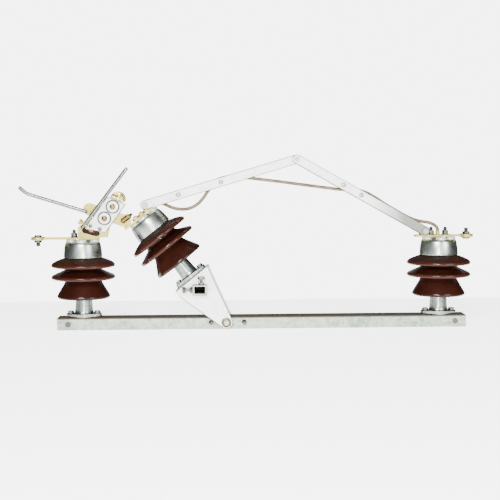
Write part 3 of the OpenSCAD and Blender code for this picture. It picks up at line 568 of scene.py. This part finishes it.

# BRACKET, SHAFT SOCKET AND LINKS
# Flame-cut plate and flat bar, welded or bolted in pairs and galvanised bright. They are almost white
# in the light, but the second link's lower third is tinted grey as painted shade.

bright, _ = zinc_finish(
    "bright_zinc", pale=(0.90, 0.94, 0.89), dull=(0.74, 0.79, 0.74),
    metal=0.08, rough=0.45, grain=80.0, bump=0.12)
finish_nodes(bright, "tilt_bracket", "first_link_bars")
shaded_link_zinc, tone = zinc_finish(
    "link_zinc_painted_shade", pale=(0.90, 0.93, 0.90), dull=(0.76, 0.79, 0.76),
    metal=0.08, rough=0.45, grain=80.0, bump=0.12)
# Painted shade: the second link's part past X = 0.40 to 0.52 m is tinted dark grey.
lower_third = ramp(shaded_link_zinc, object_axes(shaded_link_zinc), "X", [(0.40, 0.0), (0.52, 0.90)])
tinted(shaded_link_zinc, tone, "Color", (0.085, 0.105, 0.070), lower_third, "Color")
finish_nodes(shaded_link_zinc, "second_link_bars")
socket_zinc, tone = zinc_finish(
    "socket_zinc", pale=(0.50, 0.53, 0.50), dull=(0.30, 0.32, 0.30),
    metal=0.3, rough=0.5, grain=120.0, bump=0.3)
# Painted shade: the socket's bore, inwards from about its mouth, is tinted nearly black as a deep hole in
# shadow.
inward = add(socket_zinc, "ShaderNodeMath", operation="ADD")
inward.inputs[1].default_value = 0.5  # a ramp starts at 0, and the socket's mouth is at y = -0.07
wire(socket_zinc, object_axes(socket_zinc), "Y", inward, 0)
socket_bore_shade = ramp(socket_zinc, inward, 0, [(0.431, 0.0), (0.437, 0.97)])
tinted(socket_zinc, tone, "Color", (0.030, 0.017, 0.011), socket_bore_shade, "Color")
finish_nodes(socket_zinc, "shaft_socket")
# Painted shade: a near-black material for sheets put where there is only shadow.
shade_black = material("painted_shade_black", Roughness=0.8, Specular_IOR_Level=0.2)
clouded(shade_black, [(0.35, (0.010, 0.006, 0.004)), (0.65, (0.030, 0.019, 0.012))], Scale=90.0, Detail=3.0)
# Painted shade: a dark material for lines along plate edges and round holes, standing in for the shade at
# edges.
painted_edge_shade = material("painted_edge_shade", Metallic=0.3, Roughness=0.6)
clouded(painted_edge_shade, [(0.35, (0.034, 0.036, 0.033)), (0.65, (0.095, 0.099, 0.091))], Scale=70.0, Detail=4.0)


def edge_line(outline, face, side, wide):
    """A dark line of painted shade round a plate's edge: a bar along a closed (x, z) outline, that wide on
    the face at y = side * face and sunk 1 mm into it. Outward = the outline's tangent turned by a right
    angle.
    The bar stands 0.12 mm off the face and 0.1 mm off the edge."""
    ahead = np.roll(outline, -1, 0) - np.roll(outline, 1, 0)
    out = np.stack([ahead[:, 1], -ahead[:, 0]], -1) / np.linalg.norm(ahead, axis=1)[:, None]
    off, proud, sunk = 0.0001, 0.00012, -0.001
    section = np.array([(-wide, proud), (off, proud), (off, sunk), (-wide, sunk), (-wide, proud)])
    xz = outline + section[:, :1, None] * out
    y = np.broadcast_to(side * (face + section[:, 1:]), xz.shape[:2])
    return np.stack([xz[..., 0], y, xz[..., 1]], -1).reshape(-1, 3), quads(len(section), len(outline))


def bar_outline(a, b, radius):
    """Outline of a bar with round ends: half a circle about b, then half a circle about a."""
    turn = math.atan2(b[2] - a[2], b[0] - a[0])
    half = np.linspace(-np.pi / 2, np.pi / 2, 25)
    ends = [(b, half + turn), (a, half + turn + np.pi)]
    return np.vstack([
        np.stack([c[0] + radius * np.cos(t), c[2] + radius * np.sin(t)], -1) for c, t in ends])


# Painted shade: a dark line round each link bar's faces.
for link, a, b, face in (("first_link", P2, P3, FIRST_FACE), ("second_link", P3, P4, SECOND_FACE)):
    fitted(f"{link}_edges", link, painted_edge_shade, [
        edge_line(bar_outline(a, b, 0.015), face / 1000, side, 0.0021) for side in (-1, 1)], replaces=False)

HOLE, HOLE_HEIGHT = 0.008, 0.020  # radius and height of the channel's mounting holes
clockwise = np.linspace(2 * np.pi, 0, 48, endpoint=False)
circle = HOLE * np.stack([np.cos(clockwise), np.sin(clockwise)], -1)
# Painted shade: dark rings round the channel's mounting holes.
fitted("mounting_hole_rims", "base", painted_edge_shade, [
    edge_line(circle + [x, HOLE_HEIGHT], CHANNEL_FACE / 1000, side, 0.0016)
    for x in (-0.591, 0.687) for side in (-1, 1)], replaces=False)

# A cheek's outline: the seat's two corners, a shoulder, and the arc round the pivot that the sides touch.
BOSS, HALF_SEAT, SHOULDER = 0.0215, 0.067, 0.024
shoulder = [(HALF_SEAT, SEAT), (-HALF_SEAT, SEAT), (-HALF_SEAT, SEAT - SHOULDER)]
reach = [
    math.atan2(z, x) - math.copysign(math.acos(BOSS / math.hypot(x, z)), x)
    for x, z in (shoulder[2], shoulder[0])]
sweep = np.linspace(reach[0], reach[1] + 2 * np.pi, 33)
cheek = np.vstack([shoulder, BOSS * np.stack([np.cos(sweep), np.sin(sweep)], -1)])
lean = np.array([(math.cos(TILT), math.sin(TILT)), (-math.sin(TILT), math.cos(TILT))])
cheek = cheek @ lean + PIVOT[[0, 2]]
# Painted shade: a dark line round each bracket cheek.
fitted("bracket_edges", "tilt_arm", painted_edge_shade, [
    edge_line(cheek, 0.049, side, 0.0024) for side in (-1, 1)], replaces=False)

SOCKET = PIVOT + 0.76 * SEAT * np.array([-math.sin(TILT), 0, math.cos(TILT)])
top_screw = [shaft(4.5, 0, 26), hexagon(10, 0, 7), hexagon(12.5, 18, 26)]
side_screw = [shaft(4.5, 0, 34), hexagon(11, 0, 9), hexagon(11, 23, 34)]
WIDE, TALL, MOUTH = 0.023, 0.017, 0.071  # half sizes of the socket, and its mouth's distance in front
SCREW_DEPTH = -0.060
screws = [placed(part, SOCKET + [0.005, SCREW_DEPTH, TALL]) for part in top_screw]
screws += [placed(part, SOCKET + [-WIDE, SCREW_DEPTH, 0], (-1, 0, 0)) for part in side_screw]
fitted("socket_screws", "tilt_arm", plated, screws)
socket_rim = np.array([(-WIDE, TALL), (-WIDE, -TALL), (WIDE, -TALL), (WIDE, TALL)]) + SOCKET[[0, 2]]
# Painted shade: a dark line round the socket's mouth.
fitted("socket_edges", "tilt_arm", painted_edge_shade, [
    edge_line(socket_rim, MOUTH, -1, 0.0022)], replaces=False)

# A dark sheet of painted shade lies at the bottom of the socket: over across u and height v, both from -1 to
# 1, it stands out from the rear plate by a millimetre times (1 - u^2)(1 - v^2).
u, v = np.meshgrid(np.linspace(-1, 1, 25), np.linspace(-1, 1, 19))
BORE_WIDE, BORE_TALL, REAR = 0.01796, 0.01196, 0.0427  # half sizes of the bore, and its rear plate
heap = 0.001 * (1 - u**2) * (1 - v**2)
front, bed = (
    SOCKET + np.stack([BORE_WIDE * u, y, BORE_TALL * v], -1) for y in (REAR - heap, REAR + 0.0005 + 0 * heap))
sheets = [front, bed] + [np.stack(pair) for pair in (
    (front[0], bed[0]), (front[-1], bed[-1]), (front[:, 0], bed[:, 0]), (front[:, -1], bed[:, -1]))]
fitted("socket_bottom_shade", "tilt_arm", shade_black, [
    (sheet.reshape(-1, 3), quads(*sheet.shape[:2], False)) for sheet in sheets], replaces=False)

# JAW CONTACT
# Two plated cheeks carry spring-loaded fingers. Brass rivets press the fingers through large dished
# discs, and their half-round mouths, each with a rib, lead the blade in.

JAW = np.array([LEFT + 0.079, 0, CAP_TOP + 0.078])
JAW_LEAN = math.radians(36.0)
CHEEK = 18.0  # outer faces of the jaw's cheeks, in mm from the middle
silver, tone = zinc_finish(
    "silver_plate", pale=(0.80, 0.85, 0.79), dull=(0.64, 0.69, 0.64),
    metal=0.12, rough=0.36, grain=120.0, bump=0.06)
# Painted shade: a near-black band round the pressure discs' outer rim.
rim_band_shade = add(silver, "ShaderNodeAttribute", attribute_name="rim_band_shade")
tinted(silver, tone, "Color", (0.013, 0.016, 0.024), rim_band_shade, "Fac")
finish_nodes(silver, "jaw_plates")
brass = material("brass", Metallic=0.95, Roughness=0.26)
_, shade = clouded(
    brass, [(0.35, (0.105, 0.072, 0.019)), (0.65, (0.180, 0.135, 0.042))], Scale=60.0, Detail=3.0)
# Painted highlight: the fingers' ledges, ribs and beads are tinted pale yellow by their pale mark.
painted_highlight = add(brass, "ShaderNodeAttribute", attribute_name="pale")
tinted(brass, shade, "Color", (0.66, 0.59, 0.27), painted_highlight, "Fac")


def jaw_place(points):
    """Points of the jaw's own frame (across, depth, along its lean) put in their place."""
    x, y, z = points[..., 0], points[..., 1], points[..., 2]
    c, n = math.cos(JAW_LEAN), math.sin(JAW_LEAN)
    return np.stack([x * c + z * n, y, -x * n + z * c], -1) + JAW


def in_jaw(sets):
    """Sets of the jaw's own frame put in their place."""
    return [(jaw_place(p), f) for p, f in sets]


def on_cheeks(part, places):
    """A part made about Z, set on both cheeks at several (across, along) places in mm."""
    return in_jaw([
        placed(part, (x / 1000, side * CHEEK / 1000, z / 1000), (0, side, 0))
        for x, z in places for side in (-1, 1)])


discs = [(1.5, 37), (1.5, -10)]
dish_line = round_off([
    (4, 3.0), (9, 2.9), (15, 2.2), (18.6, 1.7), (20.0, 2.2), (21.8, 2.6), (22.8, 2.0), (23, 0.8), (23, 0)], 2)
dish_line = np.vstack([dish_line, [(4, 0), (4, 3.0)]]) / 1000
dish = lathe(dish_line, 72)
ring_r = np.tile(np.repeat(dish_line[:, 0], 72), 2 * len(discs))
# Painted shade: the band from 17.8 to 23.1 mm out, over the dip and the rim, is marked dark.
dark = (ring_r > 0.0178) & (ring_r < 0.0231)
fitted("pressure_discs", "base", silver, on_cheeks(
    dish, discs), marks={"rim_band_shade": 0.97 * dark})
fitted("contact_rivets", "base", brass, on_cheeks(button(9.5, 2.8, 8.0), discs))
fitted("jaw_rivets", "base", plated, on_cheeks(button(6.5, 0, 2.5), [(-21, -57), (9.5, -47)]))

plate = np.array([(-31, 52.8), (-31, -74.4), (31, -45.6), (31, 66)]) / 1000
# Painted shade: a dark line round each jaw cheek.
fitted("jaw_plate_edges", "base", painted_edge_shade, in_jaw([
    edge_line(plate, CHEEK / 1000, side, 0.0018) for side in (-1, 1)]), replaces=False)


def finger(side):
    """One contact finger as (points, faces, paleness) sets, worked out in mm, paleness being a painted
    highlight:
    a flat strip, then a half-round mouth that bulges outwards as part of an ellipsoid, with a ledge along its
    straight side, a rib up its middle and a bead round its edge, each laid on the bulge in a round section."""
    mouth, inner, slope = 25.0, 4.6, math.radians(12.0)
    tangent = np.array([math.cos(slope), 0, math.sin(slope)])
    upward = np.array([-math.sin(slope), 0, math.cos(slope)])
    centre, out = np.array([0, 0, 66.0]), np.array([0, side, 0])

    def bulge(u, v):
        """Points of the mouth: depth = 12 + 4 * sqrt(1 - (r / mouth)^2), where r^2 = u^2 + v^2."""
        deep = 12.0 + 4.0 * np.sqrt(np.maximum(1 - (u**2 + v**2) / mouth**2, 0))
        return centre + u[..., None] * tangent + v[..., None] * upward + deep[..., None] * out

    rings = mouth * np.sin(np.linspace(0, np.pi / 2, 17))
    a, r = np.meshgrid(np.linspace(0, np.pi, 49), rings)
    dome = bulge(r * np.cos(a), r * np.sin(a))
    back = dome + (inner - dome @ out)[..., None] * out
    rim = np.stack([dome[-1], back[-1]])
    u = np.concatenate([-rings[:0:-1], rings])
    floor_line = bulge(u, 0 * u)
    flat = np.stack([floor_line + (inner - floor_line @ out)[:, None] * out, floor_line])
    arch = np.linspace(-1, 1, 9)[:, None]

    def raised(u, v):
        """A round-topped moulding on the bulge: its top, its hidden bed and its two ends."""
        swell = (1 - arch**2)[..., None]
        top = bulge(u, v) + 1.7 * np.sqrt(swell) * out
        bed = bulge(u, v) - 0.5 * swell * out
        return [top, bed, np.stack([top[:, 0], bed[:, 0]]), np.stack([top[:, -1], bed[:, -1]])]

    climb = np.linspace(0, 0.97 * mouth, 24)
    edge_r = mouth - 1.65 + 1.6 * arch
    around = np.linspace(0, np.pi, 49)
    ledge = raised(0.96 * u + 0 * arch, 2.6 + 2.6 * arch + 0 * u)
    rib = raised(3.2 * arch + 0 * climb, climb + 0 * arch)
    bead = raised(edge_r * np.cos(around), edge_r * np.sin(around))
    shades = [(dome, 0.0), (back, 0.0), (rim, 0.0), (flat, 0.3)]
    shades += [(g, 1.0) for g in ledge + rib] + [(g, 0.7) for g in bead]
    sets = [(g.reshape(-1, 3) / 1000, quads(*g.shape[:2], False), pale) for g, pale in shades]
    corners = np.array([(-mouth, inner), (mouth, inner), (mouth, 8.5), (-mouth, 8.5)]) * [1, side]
    strip = np.vstack([np.column_stack([corners, np.full(4, z)]) for z in (-18.0, centre[2])])
    return sets + [(strip / 1000, quads(2, 4) + [[3, 2, 1, 0], [4, 5, 6, 7]], 0.5)]


parts = finger(-1) + finger(1)
# The pale marks carry the fingers' painted highlight.
highlight_marks = np.concatenate([np.full(len(p), pale) for p, _, pale in parts])
fitted("contact_fingers", "base", brass, in_jaw([
    (p, f) for p, f, _ in parts]), marks={"pale": highlight_marks})

# The blade's clamp: on each side a long nut along the strip, with its screw's two ends.
along_strip = (math.cos(TILT), 0, math.sin(TILT))
long_nut = [hexagon(8.8, -15, 15), thread(4.6, 15, 24), shaft(4.6, -19, -15)]
fitted("blade_clamp", "tilt_arm", brass, [
    placed(part, (-0.3985, y, 0.3655), along_strip) for y in (-0.0125, 0.0125) for part in long_nut],
    replaces=False)

# ARCING HORNS
# Plain round steel rod, bent cold and galvanised. One is clamped beside the jaw, the other is fixed on
# the blade's tip and draws the last spark away from the contacts.

ROD = 0.0059  # radius of the horns
rod_steel, _ = zinc_finish(
    "rod_steel", pale=(0.19, 0.192, 0.172), dull=(0.135, 0.137, 0.120),
    metal=0.9, rough=0.28, grain=400.0, bump=0.05)


def tube(route, radii, depth=0.0):
    """A tube along a line in the X-Z plane: ring i lies square to the line and has radii[i] at equal steps
    of angle; its middle is at that depth along Y, and both ends are closed."""
    step = np.gradient(route, axis=0)
    step /= np.linalg.norm(step, axis=1)[:, None]
    side = np.stack([-step[:, 1], step[:, 0]], -1)
    n, m = len(route), radii.shape[1]
    a = np.linspace(0, 2 * np.pi, m, endpoint=False)
    x = route[:, :1] + side[:, :1] * radii * np.cos(a)
    z = route[:, 1:] + side[:, 1:] * radii * np.cos(a)
    points = np.stack([x, depth + radii * np.sin(a), z], -1).reshape(-1, 3)
    start = np.arange(m)
    return points, quads(n, m) + [start[::-1].tolist(), (start + (n - 1) * m).tolist()]


def rod(points, radius, depth):
    """A round rod through points in the X-Z plane. Its ends are domed: at a distance of
    radius * (1 - cos b) from the end, the ring's radius is radius * sin b."""
    line = round_off(points, 2)
    b = np.linspace(0.12, np.pi / 2, 7)
    inset, small = radius * (1 - np.cos(b)), radius * np.sin(b)
    first, last = line[1] - line[0], line[-2] - line[-1]
    head = line[0] + np.outer(inset, first / np.linalg.norm(first))
    tail = line[-1] + np.outer(inset[::-1], last / np.linalg.norm(last))
    radii = np.concatenate([small, np.full(len(line) - 2, radius), small[::-1]])
    return tube(np.vstack([head, line[1:-1], tail]), np.repeat(radii[:, None], 24, axis=1), depth)


fitted("fixed_horn", "base", rod_steel, in_jaw([
    rod(np.array([(-40, -82), (-33, 170)]) / 1000, ROD, -0.0235)]))
clamp = [hexagon(10.5, 0, 10), shaft(5, 9, 31.5)]
fitted("horn_clamp", "base", yellow, in_jaw([
    placed(part, (-0.060, -0.023, -0.064), (1, 0, 0)) for part in clamp]), replaces=False)
bend = np.array([
    (-0.5246, 0.3880), (-0.7036, 0.4440), (-0.7165, 0.4481), (-0.7272, 0.4541), (-0.7346, 0.4608),
    (-0.7466, 0.4716)])
fitted("moving_horn", "tilt_arm", rod_steel, [rod(bend, ROD, -0.009)])

# FLEXIBLE CABLE
# Bare copper rope of six strands laid round a seventh, browned by the weather. It carries the current
# past the hinges and hangs free where it crosses them. A short redder braid lies in the jaw's window.

copper = material("copper_rope", Metallic=0.6, Roughness=0.5)
clouded(copper, [(0.35, (0.098, 0.068, 0.040)), (0.65, (0.19, 0.135, 0.084))], Scale=45.0, Detail=4.0)
red_copper = material("copper_braid", Metallic=0.7, Roughness=0.42)
place = add(red_copper, "ShaderNodeTexCoord")
strands = add(red_copper, "ShaderNodeTexWave", Scale=24.0, Distortion=2.0, bands_direction="DIAGONAL")
wire(red_copper, place, "Object", strands, "Vector")
graded(red_copper, strands, "Fac", "Base Color", [
    (0.3, (0.060, 0.014, 0.007)), (0.6, (0.15, 0.048, 0.024)), (0.92, (0.46, 0.27, 0.16))])


def spline(points, count):
    """A smooth line through the points: cubic pieces whose slopes are half the neighbours' difference."""
    p = np.asarray(points, float)
    slope = np.gradient(p, axis=0)
    t = np.linspace(0, len(p) - 1, count)
    i = np.clip(t.astype(int), 0, len(p) - 2)
    f = (t - i)[:, None]
    places = (2 * f**3 - 3 * f**2 + 1) * p[i] + (3 * f**2 - 2 * f**3) * p[i + 1]
    return places + (f**3 - 2 * f**2 + f) * slope[i] + (f**3 - f**2) * slope[i + 1]


def rope(route, radius, strands=6, pitch=0.07, sides=48):
    """A rope along a line in the X-Z plane: each ring's radius is the outer one less a groove between
    strands, and the whole pattern turns once for each pitch of length. Also returns its length."""
    run = np.concatenate([[0], np.cumsum(np.linalg.norm(np.diff(route, axis=0), axis=1))])
    a = np.linspace(0, 2 * np.pi, sides, endpoint=False)
    lobe = np.abs(np.sin(strands / 2 * (a[None, :] + 2 * np.pi * run[:, None] / pitch)))
    return *tube(route, radius * (0.78 + 0.22 * np.sqrt(lobe))), run[-1]


def cable(name, points):
    """One run of the cable, as a rope along a smooth line through the points in mm, in place of the CAD node
    of its name.
    """
    route = spline(np.array(points) / 1000, 240)
    p, f, length = rope(route, 0.0055)
    piece = mesh_object(f"{name}_rope", p, f, copper)
    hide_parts(name)
    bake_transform(piece)


cable("cable_loop", [
    (-331, 396.5), (-320, 405), (-310, 412), (-298, 416.5), (-285, 416.5), (-272, 412), (-258, 405.5),
    (-242, 399), (-225, 395.5), (-207, 394.5), (-190, 397), (-173, 404), (-157, 415.5), (-143, 431),
    (-130, 450), (-117, 468), (-106, 482.5), (-96, 491), (-86, 494.5)])
cable("cable_span", [
    (-86, 494.5), (-76, 498), (-62, 500), (-42, 500), (-14, 498), (20, 494.5), (60, 489.5), (100, 484.5),
    (140, 479), (180, 473.5), (220, 468), (260, 462.5), (300, 457), (330, 455), (356, 454), (374, 452),
    (384, 449)])
cable("cable_tail", [
    (384, 449), (394, 446), (410, 438), (430, 426), (460, 406), (492, 387), (524, 369), (554, 355),
    (582, 348), (604, 344.5), (620, 338), (630, 330), (634, 322), (634, 316)])

window = np.array([LEFT + 0.029, CAP_TOP + 0.0245])
braid_line = np.linspace(window + [0.020, 0.001], window + [-0.016, 0.009], 60)
braid_points, braid_faces, _ = rope(braid_line, 0.0085, strands=5, pitch=0.055, sides=64)
fitted("jaw_shunt", "base", red_copper, [(braid_points, braid_faces)])

# Behind the braid lies a dark oval sheet of painted shade: two half circles of 13 mm, 38 mm apart, leaning by
# 16 degrees.
lean = math.radians(16.0)
across = (np.where(np.cos(TURN) > 0, 19.0, -19.0) + 13 * np.cos(TURN)) / 1000
along = 13 * np.sin(TURN) / 1000
x = window[0] + across * math.cos(lean) + along * math.sin(lean)
z = window[1] + along * math.cos(lean) - across * math.sin(lean)
shade_sheet = np.concatenate([np.stack([x, np.full(len(TURN), y), z], -1) for y in (-0.004, -0.002)])
rear = np.arange(len(TURN))
fitted("jaw_window_shade", "base", shade_black, [(
    shade_sheet, quads(2, len(TURN)) + [rear[::-1].tolist(), (rear + len(TURN)).tolist()])], replaces=False)

# FLOOR, LIGHT AND CAMERA
# A plain pale floor under soft studio light, seen square on and slightly from above, as in the picture.
# The room's side walls are dark, which gives the round metal its bright middle and dark edges.

floor_mat = material(
    "floor", Roughness=0.95, Specular_IOR_Level=0.1, Emission_Color=(1, 1, 1, 1), Emission_Strength=3.7)
clouded(floor_mat, [(0.4, 0.91), (0.6, 0.93)], Scale=30.0, Detail=4.0)
corners = np.array([(-1.3, -2.1, 0), (1.3, -2.1, 0), (1.3, 0.7, 0), (-1.3, 0.7, 0)])
floor = mesh_object("floor", corners, [[0, 1, 2, 3]], floor_mat)

world = bpy.data.worlds.new("studio")
bpy.context.scene.world = world
world.use_nodes = True
backdrop = world.node_tree.nodes["Background"]
backdrop.inputs["Strength"].default_value = 2.4
direction = add(world, "ShaderNodeTexCoord")
axes = add(world, "ShaderNodeSeparateXYZ")
wire(world, direction, "Generated", axes, "Vector")
sideways = add(world, "ShaderNodeMath", operation="ABSOLUTE")
wire(world, axes, "X", sideways, 0)
before = ramp(world, sideways, 0, [(0.12, 1.0), (0.45, 0.42), (0.85, 0.05)])
behind = ramp(world, sideways, 0, [(0.15, 0.32), (0.45, 0.04)])
beyond = ramp(world, axes, "Y", [(0.0, 0.0), (0.22, 1.0)])
room = add(world, "ShaderNodeMix", data_type="RGBA")
wire(world, beyond, "Color", room, 0)
wire(world, before, "Color", room, 6)
wire(world, behind, "Color", room, 7)
overhead = ramp(world, axes, "Z", [(0.18, 1.0), (0.5, 0.22)])
ceiling = add(world, "ShaderNodeMix", data_type="RGBA", blend_type="MULTIPLY")
ceiling.inputs[0].default_value = 1.0
wire(world, room, 2, ceiling, 6)
wire(world, overhead, "Color", ceiling, 7)
seen = add(world, "ShaderNodeLightPath")
choice = add(world, "ShaderNodeMix", data_type="RGBA")
choice.inputs[7].default_value = (2.5, 2.5, 2.5, 1.0)
wire(world, seen, "Is Camera Ray", choice, 0)
wire(world, ceiling, 2, choice, 6)
wire(world, choice, 2, backdrop, "Color")


def area_light(name, place, aim, size, power):
    """A soft rectangular lamp at a place, turned to face a point."""
    lamp = bpy.data.lights.new(name, "AREA")
    lamp.shape, lamp.size, lamp.size_y, lamp.energy = "RECTANGLE", size[0], size[1], power
    obj = bpy.data.objects.new(name, lamp)
    bpy.context.scene.collection.objects.link(obj)
    back = np.array(place, float) - np.array(aim, float)
    obj.location = place
    obj.rotation_euler = (
        math.atan2(math.hypot(back[0], back[1]), back[2]), 0.0, math.atan2(back[0], -back[1]))


MIDDLE = (0, 0, 0.3)
area_light("key", (-0.9, -4.2, 2.4), aim=MIDDLE, size=(1.4, 1.0), power=370)
area_light("front", (-0.06, -3.7, 0.40), aim=MIDDLE, size=(0.3, 0.22), power=70)
area_light("fill", (2.4, -3.0, 1.4), aim=MIDDLE, size=(1.6, 1.6), power=120)

lens = bpy.data.cameras.new("camera")
lens.sensor_width = 36.0
lens.lens = 74.07
camera = bpy.data.objects.new("camera", lens)
bpy.context.scene.collection.objects.link(camera)
camera.location = (-0.0612, -3.4, 0.536)
pan, dip, roll = math.radians(-1.2), math.radians(4.68), math.radians(-0.37)
look = Matrix.Rotation(pan, 4, "Z") @ Matrix.Rotation(math.pi / 2 - dip, 4, "X")
camera.rotation_euler = (look @ Matrix.Rotation(roll, 4, "Z")).to_euler()
bpy.context.scene.camera = camera
